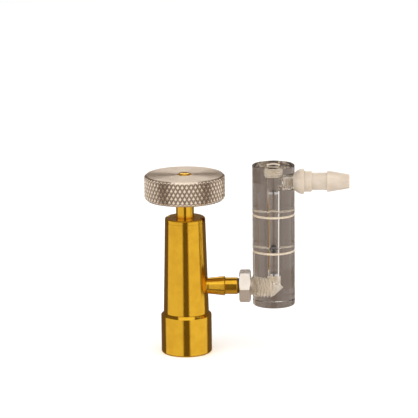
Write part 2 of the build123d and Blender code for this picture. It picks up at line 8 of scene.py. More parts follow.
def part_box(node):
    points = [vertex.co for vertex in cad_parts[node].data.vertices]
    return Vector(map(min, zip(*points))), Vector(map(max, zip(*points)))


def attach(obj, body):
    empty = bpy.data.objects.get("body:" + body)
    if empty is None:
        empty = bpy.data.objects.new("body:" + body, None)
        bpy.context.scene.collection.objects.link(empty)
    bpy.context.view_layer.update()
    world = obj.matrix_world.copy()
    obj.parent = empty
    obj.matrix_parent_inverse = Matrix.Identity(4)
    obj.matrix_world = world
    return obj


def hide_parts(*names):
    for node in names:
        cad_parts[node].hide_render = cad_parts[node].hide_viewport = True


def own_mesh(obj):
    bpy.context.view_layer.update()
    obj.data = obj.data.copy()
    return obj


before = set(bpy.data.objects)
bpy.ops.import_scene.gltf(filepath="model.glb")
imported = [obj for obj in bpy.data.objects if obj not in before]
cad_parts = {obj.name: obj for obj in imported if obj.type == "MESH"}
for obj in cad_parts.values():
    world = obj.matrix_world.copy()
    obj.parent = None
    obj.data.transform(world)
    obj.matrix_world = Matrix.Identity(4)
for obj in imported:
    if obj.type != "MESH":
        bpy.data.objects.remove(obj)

# A miniature brass gas regulator with a knurled knob, a clear flow tube and a nylon hose barb.
# Outlines are in millimetres, in the frame's own axes, and become metres when a mesh is made.
# Each piece takes its place and its main sizes from the frame's boxes. Places on the outlet line,
# from the nipple to the barb, are distances along X from the barrel's axis.

MM = 0.001
X, Y, Z = 0, 1, 2
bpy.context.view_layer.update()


# ---------------------------------------------------------------- sizes read from the frame
def low(node, axis):
    """Lowest coordinate of a frame node, in millimetres."""
    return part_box(node)[0][axis] / MM


def high(node, axis):
    """Highest coordinate of a frame node, in millimetres."""
    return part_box(node)[1][axis] / MM


COLLAR_R = high("inlet_coupling", X)
COLLAR_TOP = high("inlet_coupling", Z)
BODY_BASE_R = high("body", X)
SEAM_Z = high("body", Z)
BODY_TOP = high("bonnet", Z)
TAPER_START = COLLAR_TOP

KNOB_R = high("knob", X)
KNOB_LOW = low("knob", Z)
KNOB_TOP = high("knob", Z)
STEM_R = high("adjusting_stem", X)
STEM_TIP = low("adjusting_stem", Z)
RIVET_TOP = high("adjusting_stem", Z)

PORT_Z = (low("outlet_stub", Z) + high("outlet_stub", Z)) / 2
STUB_R = high("outlet_stub", Y)
SLEEVE_START, SLEEVE_END = low("lock_sleeve", X), high("lock_sleeve", X)
SLEEVE_R = high("lock_sleeve", Y)
WASHER_R = high("adapter_washer", Y)
HEX_START = low("hex_adapter", X)
HEX_CORNER_R = high("hex_adapter", Y)
PIPE_END = high("hex_adapter", X)

TUBE_X = (low("flow_tube", X) + high("flow_tube", X)) / 2
TUBE_R = high("flow_tube", Y)
TUBE_LOW, TUBE_TOP = low("flow_tube", Z), high("flow_tube", Z)
BALL_Z = (low("float_ball", Z) + high("float_ball", Z)) / 2
BALL_R = high("float_ball", Y)
PLUG_LOW, PLUG_TOP = low("top_plug", Z), high("top_plug", Z)
PLUG_R = high("top_plug", Y)

BARB_Z = (low("hose_barb", Z) + high("hose_barb", Z)) / 2
BARB_START, BARB_TIP = low("hose_barb", X), high("hose_barb", X)
BARB_FLANGE_R = high("hose_barb", Y)

# ---------------------------------------------------------------- details that the boxes don't give
BODY_TOP_R = 7.55
BODY_EDGE = 0.14  # radius of the broken edge above the collar
INLET_CREST_R, INLET_ROOT_R, INLET_PITCH = 7.174, 7.9375, 25.4 / 18
INLET_THREAD = (0.4, 7.8)
INLET_RELIEF_R, SHOULDER_Z = 8.15, 9.6
COUNTERSINK = 1.1  # depth of the collar's countersink for an O-ring
SPIGOT_R = 6.35
FILTER_POCKET_R, FILTER_POCKET_TOP = 3.2, 13.6
CHAMBER_R, CHAMBER_TOP = 2.6, 21.4
INSERT_HOLE_R = 3.6
SEAL_POCKET_R, SEAL_POCKET_LOW = 4.35, 23.5
CYLINDER_R, CYLINDER_FLOOR = 5.5, 24.4
BONNET_THREAD_FLOOR = 43.2
PORT_START, PORT_R = 5.0, 2.26  # hole round the nipple's thread, the same in all that it passes
SPOT_FACE_X, SPOT_FACE_R = 7.5, 3.15
OUTSIDE = 20.0  # distance from the barrel's axis that is clear of its wall
BONNET_LOW, BONNET_HOLE_R, BONNET_HOLE_TOP = 43.8, 3.6, 46.5
SLOT_TURN, SLOT_WIDTH, SLOT_DEPTH, SLOT_INNER_R = radians(-19), 1.8, 1.2, 6.0
VENT_R, VENT_REACH = 0.4, 4.9
STEM_THREAD_R, STEM_ROOT_R, STEM_PITCH = 3.12, 2.62, 25.4 / 28
STEM_SHANK, STEM_SHOULDER = 50.3, 61.5

KNURLS = 56  # diamonds round the knob
KNURL_RISE = 2.93  # distance along the axis in which a knurl line gains one diamond
KNURL_DEPTH = 0.5
KNURL_TIP = 0.86  # share of a full pyramid that is left below its worn tip
KNURL_STEPS = 10  # mesh columns for each diamond
KNOB_TOP_CHAMFER, KNOB_LOW_CHAMFER = 0.8, 0.9
KNOB_HUB_R, KNOB_RIM, KNOB_RELIEF = 6.5, 2.6, 0.6  # underside: hub, width of the rim, depth between
KNOB_SEAT = 2.4  # depth of the hole that takes the stem's shank, below the narrower rivet
RIVET_R = 2.5

STUB_START_R, STUB_START_LENGTH, STUB_FLARE = 3.03, 1.2, 14.7
STUB_THREAD_R, STUB_ROOT_R, STUB_PITCH = 2.2, 1.85, 0.7
LINE_BORE_R = 1.2  # bore of the nipple and of the hexagon's thread
HEX_LENGTH = 4.2
PIPE_R, PIPE_DEPTH, PIPE_PITCH, PIPE_TAPER = 3.97, 0.62, 25.4 / 27, 1 / 32

RING_DROPS = (18.6, 32.4)
RING_WIDTH, RING_DEPTH = 0.8, 0.3
BORE_LOW_R, BORE_TOP_R = 1.66, 1.9
BORE_TAPER_LOW, BORE_TAPER_TOP = 30.1, 62.4
THREAD_GAP, PIPE_GAP = 0.04, 0.05  # radial gap round the plug's and the barb's thread, and round the pipe's
TAPPED_CONE = 2.4  # length of the drilled cone beyond the pipe thread's hole
PLUG_POCKET = 67.8
PLUG_PITCH, PLUG_THREAD_DEPTH = 0.8, 0.4
PLUG_SOCKET_FLATS, PLUG_SOCKET_DEPTH = 2.0, 1.6

BARB_THREAD_R, BARB_THREAD_DEPTH, BARB_PITCH = 3.175, 0.45, 25.4 / 28
BARB_HOLE_START, BARB_SEAT, BARB_SPOT_R = 35.8, 40.5, 3.7
BARB_FLANGE_RS, BARB_FLANGE_XS = (3.38, 4.08, 4.58), (41.1, 41.9, 43.0)
BARB_FLANGE_END = 44.55
BARB_COLLAR_R, BARB_COLLAR_END = 3.885, 47.4
BARB_SHANK_R = 3.25
BARB_CREST_R, BARB_CREST = 3.92, (53.1, 53.7)
BARB_TIP_R, BARB_BORE_R = 2.335, 1.3

FINE = 160  # mesh columns round a turned piece
UPRIGHT = Matrix.Identity(4)
# One pitch of a thread, as (share of the pitch, height from 0 at the root to 1 at the crest).
THREAD_SHAPE = (
    (0.000, 1.00), (0.045, 0.98), (0.080, 0.93), (0.400, 0.07), (0.450, 0.02),
    (0.500, 0.00), (0.550, 0.02), (0.600, 0.07), (0.920, 0.93), (0.955, 0.98),
)


# ---------------------------------------------------------------- mesh helpers
def lying(height):
    """Lays a piece built up +Z along +X, with its axis at that height."""
    return Matrix.Translation((0, 0, height)) @ Matrix.Rotation(radians(90), 4, "Y")


def rounded(corners, closed=False):
    """Outline of (radius, height) points, where a corner given with a third number is an arc."""
    steps = 4
    points = []
    for i, (r, z, *fillet) in enumerate(corners):
        here = Vector((r, z))
        ends = not closed and i in (0, len(corners) - 1)
        if ends or not fillet:
            points.append((r, z))
            continue
        before = Vector(corners[i - 1][:2]) - here
        after = Vector(corners[(i + 1) % len(corners)][:2]) - here
        half = before.angle(after) / 2
        reach = min(fillet[0] / tan(half), 0.48 * before.length, 0.48 * after.length)
        start = here + before.normalized() * reach
        end = here + after.normalized() * reach
        centre = here + (before.normalized() + after.normalized()).normalized() * reach / cos(half)
        turn = (start - centre).angle(end - centre)
        for step in range(steps + 1):
            share = step / steps
            first, second = sin((1 - share) * turn), sin(share * turn)
            point = centre + ((start - centre) * first + (end - centre) * second) / sin(turn)
            points.append((point.x, point.y))
    return points


def helix(start, end, pitch, crest, root, angle, taper=0.0):
    """Points of a true helical thread at one angle, from one height up to another.

    The thread fades in and out at its ends, and loses that taper in radius per length.
    """
    fade = 0.75 * pitch
    points = []
    for turn in range(-1, ceil((end - start) / pitch) + 1):
        for share, height in THREAD_SHAPE:
            z = min(max(start + (turn + share + angle / (2 * pi)) * pitch, start), end)
            kept = min(1, (z - start) / fade, (end - z) / fade)
            radius = root + (crest - root) * min(height, kept)
            points.append((radius - taper * (z - start), z))
    return points


def mesh_object(name, vertices, faces, place=UPRIGHT):
    """Closed mesh object from millimetre vertices, with coincident vertices joined."""
    made = bmesh.new()
    corners = [made.verts.new(place @ Vector(v) * MM) for v in vertices]
    for face in faces:
        try:
            made.faces.new([corners[i] for i in face])
        except ValueError:
            continue
    bmesh.ops.remove_doubles(made, verts=made.verts, dist=2e-7)
    bmesh.ops.dissolve_degenerate(made, edges=made.edges, dist=1e-7)
    bmesh.ops.recalc_face_normals(made, faces=made.faces)
    mesh = bpy.data.meshes.new(name)
    made.to_mesh(mesh)
    made.free()
    piece = bpy.data.objects.new(name, mesh)
    bpy.context.scene.collection.objects.link(piece)
    return piece


def turned(name, column_at, closed=False, columns=FINE, place=UPRIGHT):
    """Turned piece: column_at(angle) is its outline at that angle, as (radius, height) points."""
    vertices, faces = [], []
    for i in range(columns + 1):
        angle = 2 * pi * i / columns
        outline = column_at(angle)
        vertices += [(r * cos(angle), r * sin(angle), z) for r, z in outline]
    rows = len(vertices) // (columns + 1)
    last = rows if closed else rows - 1
    for i in range(columns):
        for j in range(last):
            k = (j + 1) % rows
            faces.append((i * rows + j, (i + 1) * rows + j, (i + 1) * rows + k, i * rows + k))
    return mesh_object(name, vertices, faces, place)


def lathe(name, corners, closed=False, columns=FINE, place=UPRIGHT):
    """Plain turned piece from one outline with rounded corners."""
    outline = rounded(corners, closed)
    return turned(name, lambda angle: outline, closed, columns, place)


def drill(name, radius, start, end, columns, place=UPRIGHT):
    """Plain cylinder from one height to another, used as a cutter."""
    return lathe(name, [(0, start), (radius, start), (radius, end), (0, end)], columns=columns, place=place)


def prism(name, points, bottom, top, place=UPRIGHT):
    """Prism on a plan of (x, y) points."""
    count = len(points)
    vertices = [(x, y, z) for z in (bottom, top) for x, y in points]
    faces = [tuple(range(count)), tuple(range(count, 2 * count))]
    faces += [(i, (i + 1) % count, count + (i + 1) % count, count + i) for i in range(count)]
    return mesh_object(name, vertices, faces, place)


def hexagon(corner_r, turn=0.0):
    """Corners of a hexagon, at that distance from its centre."""
    return [(corner_r * cos(turn + i * pi / 3), corner_r * sin(turn + i * pi / 3)) for i in range(6)]


def cut(piece, *cutters, operation="DIFFERENCE"):
    """Takes the cutters out of the piece, or keeps what they share with it, and deletes them."""
    for cutter in cutters:
        step = piece.modifiers.new("cut", "BOOLEAN")
        step.operation = operation
        step.solver = "EXACT"
        step.object = cutter
        settle(piece)
        bpy.data.objects.remove(cutter)


def settle(piece):
    """Applies the piece's modifiers."""
    bpy.context.view_layer.update()
    seen = piece.evaluated_get(bpy.context.evaluated_depsgraph_get())
    mesh = bpy.data.meshes.new_from_object(seen)
    piece.modifiers.clear()
    piece.data = mesh


def soften(piece, width, segments=2, sharp=35):
    """Breaks the piece's sharp edges with a small bevel."""
    step = piece.modifiers.new("edge", "BEVEL")
    step.width = width * MM
    step.segments = segments
    step.limit_method = "ANGLE"
    step.angle_limit = radians(sharp)
    settle(piece)


def shade(piece, sharp=42):
    """Smooth shading that keeps large faces flat and true edges sharp."""
    piece.data.shade_smooth()
    piece.data.set_sharp_from_angle(angle=radians(sharp))
    step = piece.modifiers.new("even", "WEIGHTED_NORMAL")
    step.keep_sharp = True
    settle(piece)
    return piece


def fit(piece, node, body, material):
    """The piece stands for a frame node, rides on its body and takes its finish."""
    piece.data.materials.clear()
    piece.data.materials.append(material)
    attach(piece, body)
    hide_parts(node)


# ---------------------------------------------------------------- material helpers
class Nodes:
    """Short spelling for a material's node tree."""

    def __init__(self, name):
        self.material = bpy.data.materials.new(name)
        self.material.use_nodes = True
        self.tree = self.material.node_tree
        self.shader = self.tree.nodes["Principled BSDF"]
        self.coords = self.tree.nodes.new("ShaderNodeTexCoord").outputs["Object"]

    def add(self, kind, values=None, **settings):
        """New node of that kind, with values for its inputs and settings for itself."""
        node = self.tree.nodes.new("ShaderNode" + kind)
        for key, value in settings.items():
            setattr(node, key, value)
        for key, value in (values or {}).items():
            node.inputs[key].default_value = value
        return node

    def link(self, output, target):
        """Links an output to an input."""
        self.tree.links.new(output, target)

    def feed(self, sockets, values):
        """Links every value that is an output to its socket, and sets the others."""
        for socket, value in zip(sockets, values):
            if hasattr(value, "is_output"):
                self.link(value, socket)
            else:
                socket.default_value = value

    def set(self, **values):
        """Feeds inputs of the shader, where _ stands for a space in their names."""
        self.feed([self.shader.inputs[key.replace("_", " ")] for key in values], values.values())

    def stretched(self, scale):
        """Object coordinates scaled along each axis."""
        node = self.add("Mapping", {"Scale": scale})
        self.link(self.coords, node.inputs["Vector"])
        return node.outputs["Vector"]

    def noise(self, size, detail, scale=(1, 1, 1)):
        """Noise whose features are about that many millimetres across."""
        node = self.add("TexNoise", {"Scale": 1 / (size * MM), "Detail": detail, "Roughness": 0.55})
        self.link(self.stretched(scale), node.inputs["Vector"])
        return node.outputs["Fac"]

    def ranged(self, value, low_in, high_in, low_out, high_out):
        """Maps one range of a value on to another."""
        node = self.add("MapRange", {1: low_in, 2: high_in, 3: low_out, 4: high_out})
        self.link(value, node.inputs[0])
        return node.outputs[0]

    def mixed(self, share, first, second):
        """Colour between two colours or sockets."""
        node = self.add("Mix", data_type="RGBA")
        self.feed((node.inputs["Factor"], node.inputs[6], node.inputs[7]), (share, first, second))
        return node.outputs[2]

    def worked(self, operation, first, second):
        """Arithmetic on two values or sockets."""
        node = self.add("Math", operation=operation)
        self.feed(node.inputs, (first, second))
        return node.outputs[0]

    def radius(self, axis="Z", centre=(0, 0, 0)):
        """Distance of a point from an upright or lying axis, in metres."""
        moved = self.add("Mapping", {"Location": [-c * MM for c in centre]})
        self.link(self.coords, moved.inputs["Vector"])
        flat = self.add("VectorMath", operation="MULTIPLY")
        flat.inputs[1].default_value = (1, 1, 0) if axis == "Z" else (0, 1, 1)
        self.link(moved.outputs[0], flat.inputs[0])
        length = self.add("VectorMath", operation="LENGTH")
        self.link(flat.outputs[0], length.inputs[0])
        return length.outputs["Value"]

    def along(self, axis):
        """One object coordinate."""
        node = self.add("SeparateXYZ")
        self.link(self.coords, node.inputs[0])
        return node.outputs[axis]

    def waves(self, value, spacing):
        """Fine grooves across a length in metres, spacing in millimetres."""
        turns = self.worked("MULTIPLY", value, 2 * pi / (spacing * MM))
        return self.worked("SINE", turns, 0)

    def bump(self, height, depth, strength=1.0, before=None):
        """Bump of that many millimetres, on top of another one."""
        node = self.add("Bump", {"Strength": strength, "Distance": depth * MM})
        self.link(height, node.inputs["Height"])
        if before:
            self.link(before, node.inputs["Normal"])
        return node.outputs["Normal"]


def grey(value):
    """Neutral colour of that brightness."""
    return (value, value, value, 1)


def machined(name, colour, stain, roughness, groove=0.11, axis="Z", centre=(0, 0, 0), lay=0.0):
    """Worked metal: fine tool marks, handling stains and uneven polish.

    A lay above 0 stretches its reflections the way that turning about the axis does.
    """
    m = Nodes(name)
    m.set(Metallic=1.0)
    patch = m.ranged(m.noise(5.0, 4), 0.38, 0.68, 0, 1)
    fleck = m.ranged(m.noise(0.5, 3), 0.58, 0.78, 0, 0.25)
    tone = m.mixed(m.worked("MAXIMUM", m.worked("MULTIPLY", patch, 0.4), fleck), colour, stain)
    handled = m.worked("MULTIPLY", patch, 0.04)
    uneven = m.worked("ADD", handled, m.ranged(m.noise(0.22, 2), 0.3, 0.7, -0.02, 0.02))
    m.set(Base_Color=tone, Roughness=m.worked("ADD", uneven, roughness))
    if lay:
        ring = m.add("Tangent", direction_type="RADIAL", axis=axis)
        m.set(Anisotropic=lay, Anisotropic_Rotation=0.25, Tangent=ring.outputs[0])
    travel = m.along(axis)
    sweep = m.worked("ADD", travel, m.worked("MULTIPLY", m.radius(axis, centre), 0.9))
    marks = m.worked("MULTIPLY", m.waves(sweep, groove), m.ranged(m.noise(1.6, 2), 0.3, 0.7, 0.3, 1))
    fine = m.bump(marks, 0.0012)
    m.set(Normal=m.bump(m.noise(0.35, 2), 0.004, 0.6, fine))
    return m


# ---------------------------------------------------------------- materials
def make_brass():
    """Satin turned brass."""
    m = machined("brass", (0.78, 0.45, 0.035, 1), (0.60, 0.30, 0.02, 1), 0.13, lay=0.7)
    return m.material


def make_side_brass():
    """The same brass turned about an axis along +X."""
    tone, stain = (0.80, 0.46, 0.04, 1), (0.60, 0.29, 0.02, 1)
    m = machined("side_brass", tone, stain, 0.14, axis="X", centre=(0, 0, PORT_Z), lay=0.6)
    return m.material


def make_plain_brass():
    """Brass of the inner pieces."""
    m = machined("inner_brass", (0.78, 0.47, 0.09, 1), (0.60, 0.33, 0.05, 1), 0.3, groove=0.15)
    return m.material


def make_knob_nickel():
    """Warm nickel plate, with painted shade darkening the knurl grooves, and a turned top face."""
    m = machined("knob_nickel", (0.90, 0.79, 0.65, 1), (0.70, 0.57, 0.44, 1), 0.2, groove=0.16, lay=0.85)
    polish = m.shader.inputs["Roughness"].links[0].from_socket
    on_top = m.ranged(m.along("Z"), (KNOB_TOP - 0.12) * MM, (KNOB_TOP - 0.02) * MM, 0, 0.15)
    m.set(Roughness=m.worked("ADD", polish, on_top))
    tone = m.shader.inputs["Base Color"].links[0].from_socket
    reach = m.radius()
    # Painted shade: the knurl grooves, between the two rims, are darkened towards a deep brown.
    groove = m.ranged(reach, (KNOB_R - KNURL_DEPTH) * MM, (KNOB_R - 0.12) * MM, 1, 0)
    band = m.ranged(reach, (KNOB_R - KNURL_DEPTH - 0.25) * MM, (KNOB_R - KNURL_DEPTH - 0.05) * MM, 0, 1)
    rim_low, rim_top = KNOB_LOW + KNOB_LOW_CHAMFER, KNOB_TOP - KNOB_TOP_CHAMFER
    below_rim = m.ranged(m.along("Z"), (rim_top - 0.1) * MM, (rim_top + 0.1) * MM, 1, 0)
    above_rim = m.ranged(m.along("Z"), (rim_low - 0.15) * MM, (rim_low + 0.05) * MM, 0, 1)
    knurled = m.worked("MULTIPLY", below_rim, above_rim)
    groove_shade = m.worked("MULTIPLY", m.worked("MULTIPLY", groove, band), knurled)
    m.set(Base_Color=m.mixed(m.worked("MULTIPLY", groove_shade, 0.9), tone, (0.14, 0.08, 0.045, 1)))
    return m.material


def make_nickel():
    """Satin nickel plate of the hexagon."""
    tone, stain = (0.86, 0.81, 0.73, 1), (0.70, 0.62, 0.54, 1)
    m = machined("fitting_nickel", tone, stain, 0.26, axis="X", centre=(0, 0, PORT_Z))
    return m.material


def make_steel(name, tone, roughness):
    """Ground or drawn steel."""
    clean, stain = (tone, tone, tone * 1.03, 1), (tone * 0.7, tone * 0.68, tone * 0.66, 1)
    m = machined(name, clean, stain, roughness, groove=0.08)
    return m.material


def make_bronze():
    """Sintered bronze: small grains, with painted shade darkening the pores between them."""
    m = Nodes("sintered_bronze")
    cells = m.add("TexVoronoi", {"Scale": 1 / (0.28 * MM)})
    m.link(m.coords, cells.inputs["Vector"])
    # Painted shade: the sunken pores between the grains are darkened to near black.
    pore_shade = m.ranged(cells.outputs["Distance"], 0.25, 0.6, 0, 1)
    m.set(Base_Color=m.mixed(pore_shade, (0.55, 0.34, 0.14, 1), (0.10, 0.05, 0.02, 1)))
    m.set(Metallic=1.0, Roughness=0.5, Normal=m.bump(cells.outputs["Distance"], -0.08))
    return m.material


def make_acrylic():
    """Polished clear acrylic with faint rub marks."""
    m = Nodes("clear_acrylic")
    m.set(IOR=1.49, Transmission_Weight=1.0)
    haze = m.ranged(m.noise(3.0, 3, (1, 1, 0.3)), 0.35, 0.7, 0.0, 0.035)
    scratch = m.ranged(m.noise(0.25, 2, (1, 1, 0.08)), 0.62, 0.7, 0.0, 0.05)
    m.set(Roughness=m.worked("ADD", haze, scratch))
    m.set(Base_Color=m.mixed(m.noise(9.0, 2), (0.97, 0.955, 0.935, 1), (0.99, 0.98, 0.965, 1)))
    return m.material


def make_frost():
    """The same acrylic where a tool has left it matt: threads, drilled cones and engraved rings."""
    m = Nodes("frosted_acrylic")
    marks = m.noise(0.4, 3, (1, 1, 1))
    share = m.ranged(marks, 0.35, 0.65, 0, 1)
    m.set(Base_Color=m.mixed(share, (0.66, 0.50, 0.32, 1), (0.94, 0.84, 0.70, 1)))
    m.set(Roughness=m.ranged(marks, 0.3, 0.7, 0.42, 0.6), Normal=m.bump(marks, 0.02, 0.6))
    m.set(IOR=1.49, Transmission_Weight=0.35)
    return m.material


def make_nylon():
    """Milky natural nylon with flow clouds."""
    m = Nodes("natural_nylon")
    cloud = m.ranged(m.noise(3.5, 4, (0.5, 1, 1)), 0.35, 0.7, 0, 1)
    m.set(Base_Color=m.mixed(cloud, (0.58, 0.50, 0.41, 1), (0.48, 0.40, 0.32, 1)))
    m.set(Roughness=m.ranged(m.noise(0.8, 3), 0.3, 0.7, 0.28, 0.42))
    m.set(Normal=m.bump(m.noise(0.6, 3), 0.02, 0.5), IOR=1.53)
    m.set(Subsurface_Weight=0.75, Subsurface_Radius=(1.0, 0.8, 0.55), Subsurface_Scale=1.6 * MM)
    return m.material


def make_plastic():
    """Soft white plastic of the valve disc and the flat seals."""
    m = Nodes("seat_plastic")
    m.set(Base_Color=m.mixed(m.noise(1.2, 3), grey(0.82), (0.70, 0.68, 0.63, 1)))
    m.set(Roughness=m.ranged(m.noise(0.4, 2), 0.3, 0.7, 0.4, 0.55))
    m.set(Normal=m.bump(m.noise(0.3, 2), 0.01, 0.5))
    return m.material


def make_rubber():
    """Matt black rubber with a dusty bloom."""
    m = Nodes("black_rubber")
    bloom = m.ranged(m.noise(1.5, 4), 0.45, 0.75, 0, 0.5)
    m.set(Base_Color=m.mixed(bloom, grey(0.014), grey(0.06)))
    m.set(Roughness=m.ranged(m.noise(0.2, 2), 0.3, 0.7, 0.5, 0.7))
    m.set(Normal=m.bump(m.noise(0.15, 2), 0.01, 0.6))
    return m.material


BRASS = make_brass()
SIDE_BRASS = make_side_brass()
INNER_BRASS = make_plain_brass()
KNOB_NICKEL = make_knob_nickel()
NICKEL = make_nickel()
STEEL = make_steel("steel", 0.58, 0.18)
BALL_STEEL = make_steel("ball_steel", 0.16, 0.2)
SPRING_STEEL = make_steel("spring_steel", 0.4, 0.3)
BRONZE = make_bronze()
ACRYLIC = make_acrylic()
FROST = make_frost()
NYLON = make_nylon()
PLASTIC = make_plastic()
RUBBER = make_rubber()


# ---------------------------------------------------------------- barrel
def barrel_r(z):
    """Radius of the taper that the body and the bonnet share."""
    return BODY_BASE_R + (BODY_TOP_R - BODY_BASE_R) * (z - TAPER_START) / (BODY_TOP - TAPER_START)


def make_collar():
    """Inlet collar with its female thread."""
    outside = rounded(
        [
            (INLET_ROOT_R, 0),
            (COLLAR_R - 0.5, 0, 0.15),
            (COLLAR_R, 0.5, 0.3),
            (COLLAR_R, COLLAR_TOP - 1.0, 0.22),
            (BODY_BASE_R, COLLAR_TOP, 0.05),
            (SPIGOT_R + 0.75, COLLAR_TOP, 0.1),
            (SPIGOT_R + 0.1, COLLAR_TOP - COUNTERSINK),
            (SPIGOT_R + 0.06, SHOULDER_Z, 0.1),
            (INLET_RELIEF_R, SHOULDER_Z, 0.25),
            (INLET_RELIEF_R, INLET_THREAD[1] + 0.4, 0.1),
            (INLET_ROOT_R, INLET_THREAD[1]),
        ]
    )

    def column(angle):
        screw = helix(*INLET_THREAD, INLET_PITCH, INLET_CREST_R, INLET_ROOT_R, angle)
        return outside + screw[::-1]

    collar = turned("inlet_collar", column, closed=True)
    fit(shade(collar), "inlet_coupling", "housing", BRASS)


def make_body():
    """Tapered body with its spigot and bores, and the spot face for the outlet."""
    body = lathe(
        "tapered_body",
        [
            (FILTER_POCKET_R, SHOULDER_Z, 0.2),
            (SPIGOT_R - 0.3, SHOULDER_Z, 0.2),
            (SPIGOT_R, SHOULDER_Z + 0.4, 0.2),
            (SPIGOT_R, COLLAR_TOP - COUNTERSINK),
            (SPIGOT_R - 0.6, COLLAR_TOP - COUNTERSINK),
            (SPIGOT_R - 0.6, COLLAR_TOP + 0.03),
            (BODY_BASE_R - 0.01, COLLAR_TOP + 0.03, BODY_EDGE),
            (barrel_r(SEAM_Z), SEAM_Z - 0.01, 0.04),
            (SPIGOT_R + 0.5, SEAM_Z - 0.01, 0.1),
            (SPIGOT_R + 0.1, BONNET_THREAD_FLOOR),
            (CYLINDER_R, BONNET_THREAD_FLOOR),
            (CYLINDER_R, CYLINDER_FLOOR),
            (SEAL_POCKET_R, CYLINDER_FLOOR),
            (SEAL_POCKET_R, SEAL_POCKET_LOW),
            (INSERT_HOLE_R, SEAL_POCKET_LOW),
            (INSERT_HOLE_R, CHAMBER_TOP),
            (CHAMBER_R, CHAMBER_TOP),
            (CHAMBER_R, FILTER_POCKET_TOP),
            (FILTER_POCKET_R, FILTER_POCKET_TOP),
        ],
        closed=True,
        columns=192,
    )
    port = drill("port", PORT_R, PORT_START, OUTSIDE, columns=64, place=lying(PORT_Z))
    spot = drill("spot", SPOT_FACE_R, SPOT_FACE_X, OUTSIDE, columns=96, place=lying(PORT_Z))
    cut(body, port, spot)
    fit(shade(body, 30), "body", "housing", BRASS)


def make_bonnet():
    """Screwed cap of the barrel, with two spanner slots and a vent."""
    cap = lathe(
        "bonnet_cap",
        [
            (BONNET_HOLE_R, BONNET_LOW),
            (SPIGOT_R - 0.3, BONNET_LOW, 0.1),
            (SPIGOT_R, BONNET_LOW + 0.4, 0.1),
            (SPIGOT_R, SEAM_Z - 0.6),
            (SPIGOT_R - 0.5, SEAM_Z - 0.3),
            (SPIGOT_R - 0.5, SEAM_Z + 0.01),
            (barrel_r(SEAM_Z), SEAM_Z + 0.01, 0.04),
            (BODY_TOP_R, BODY_TOP - 0.4, 0.1),
            (BODY_TOP_R - 0.4, BODY_TOP, 0.1),
            (STEM_R + 0.45, BODY_TOP, 0.1),
            (STEM_R + 0.08, BODY_TOP - 0.4, 0.1),
            (STEM_R + 0.08, BONNET_HOLE_TOP),
            (BONNET_HOLE_R, BONNET_HOLE_TOP),
        ],
        closed=True,
        columns=192,
    )
    for side in (0, pi):
        near, far, half = SLOT_INNER_R, 12, SLOT_WIDTH / 2
        plan = [(near, -half), (far, -half), (far, half), (near, half)]
        spun = Matrix.Rotation(SLOT_TURN + side, 4, "Z")
        cut(cap, prism("slot", plan, BODY_TOP - SLOT_DEPTH, BODY_TOP + 1, spun))
    across = Matrix.Translation((0, VENT_REACH, 0))
    cut(cap, drill("vent", VENT_R, start=40, end=60, columns=32, place=across))
    soften(cap, 0.06, 2, 50)
    fit(shade(cap, 30), "bonnet", "housing", BRASS)


def make_stem():
    """Adjusting screw: threaded end, plain shank, and the head riveted over in the knob."""
    upper = rounded(
        [
            (STEM_R - 0.5, STEM_SHANK - 0.5),
            (STEM_R, STEM_SHANK, 0.1),
            (STEM_R, STEM_SHOULDER),
            (RIVET_R, STEM_SHOULDER),
            (RIVET_R, KNOB_TOP + 0.12, 0.12),
            (RIVET_R * 0.86, KNOB_TOP + 0.42, 0.3),
            (RIVET_R * 0.5, RIVET_TOP - 0.1, 0.6),
            (0.0, RIVET_TOP),
        ]
    )

    def column(angle):
        screw = helix(STEM_TIP + 0.6, STEM_SHANK - 0.5, STEM_PITCH, STEM_THREAD_R, STEM_ROOT_R, angle)
        return [(0, STEM_TIP + 0.9), (0.9, STEM_TIP), (2.3, STEM_TIP), *screw, *upper]

    stem = turned("adjusting_screw", column, columns=128)
    fit(shade(stem), "adjusting_stem", "knob", BRASS)


# ---------------------------------------------------------------- knob
def knurl(angle, z):
    """Height of the diamond knurl at a point of the rim, 0 in a groove and 1 on a tip."""
    around, rise = angle * KNURLS / (2 * pi), (z - KNOB_LOW) / KNURL_RISE
    walls = [abs((v + 0.5) % 1 - 0.5) * 2 for v in (around + rise, around - rise)]
    return min(1.0, min(walls) / KNURL_TIP)


